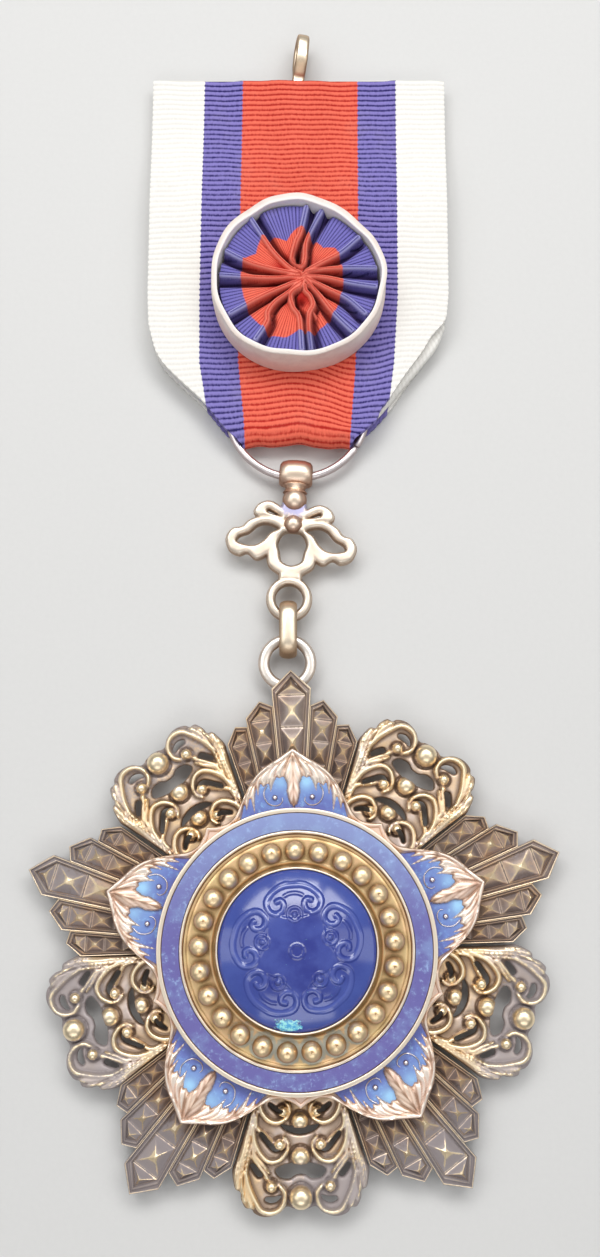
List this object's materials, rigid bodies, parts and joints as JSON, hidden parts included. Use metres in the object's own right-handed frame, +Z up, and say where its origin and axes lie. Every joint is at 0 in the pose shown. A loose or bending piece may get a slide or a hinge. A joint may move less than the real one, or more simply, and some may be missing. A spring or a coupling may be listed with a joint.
{
  "type": "order badge",
  "caption": "Order badge: a rayed star with an enamelled medallion hangs by a link, a trefoil and a ring from a folded ribbon with a rosette.",
  "frame": {"origin": "centre of the bounding box's footprint, on the surface that the badge lies on", "axes": "+Y from the star to the hook at the top of the ribbon, +Z up out of the front face, +X to the right as seen from the front"},
  "size_m": [0.0596, 0.1406, 0.0083],
  "materials": {
    "ribbon_silk": "ribbed silk in white, blue and red stripes",
    "band_silk": "white silk edge of the same ribbon",
    "rosette_silk": "ribbed silk, red in the middle and blue round it",
    "silver": "worn silver wire",
    "pale_gilt": "worn pale gilding on silver, soft shine",
    "copper_gilt": "worn reddish gilding, brushed",
    "tarnished_gilt": "dull tarnished gilding with bright edges",
    "cloud_gilt": "cast relief with worn gilding and dark hollows",
    "bead_gilt": "yellow gilding, satin",
    "petal_enamel": "glossy blue enamel with light blue clouds",
    "ring_enamel": "glossy violet blue enamel, slightly cloudy",
    "dome_enamel": "deep blue enamel over an engraved ground"
  },
  "bodies": {
    "root": {"hook": "pale_gilt", "ribbon": "ribbon_silk", "rosette_band": "band_silk", "rosette_pleats": "rosette_silk", "suspension_ring": "silver", "trefoil": "pale_gilt", "link": "copper_gilt", "star_rays": "tarnished_gilt", "cloud_panel_1": "cloud_gilt", "cloud_panel_2": "cloud_gilt", "cloud_panel_3": "cloud_gilt", "cloud_panel_4": "cloud_gilt", "cloud_panel_5": "cloud_gilt", "petal_plate": "pale_gilt", "petal_enamel_1": "petal_enamel", "petal_enamel_2": "petal_enamel", "petal_enamel_3": "petal_enamel", "petal_enamel_4": "petal_enamel", "petal_enamel_5": "petal_enamel", "medallion_rims": "pale_gilt", "enamel_ring": "ring_enamel", "bead_plate": "bead_gilt", "dome_rim": "bead_gilt", "dome": "dome_enamel", "bead_01": "bead_gilt", "bead_02": "bead_gilt", "bead_03": "bead_gilt", "bead_04": "bead_gilt", "bead_05": "bead_gilt", "bead_06": "bead_gilt", "bead_07": "bead_gilt", "bead_08": "bead_gilt", "bead_09": "bead_gilt", "bead_10": "bead_gilt", "bead_11": "bead_gilt", "bead_12": "bead_gilt", "bead_13": "bead_gilt", "bead_14": "bead_gilt", "bead_15": "bead_gilt", "bead_16": "bead_gilt", "bead_17": "bead_gilt", "bead_18": "bead_gilt", "bead_19": "bead_gilt", "bead_20": "bead_gilt", "bead_21": "bead_gilt", "bead_22": "bead_gilt", "bead_23": "bead_gilt", "bead_24": "bead_gilt", "bead_25": "bead_gilt"}
  },
  "joints": []
}
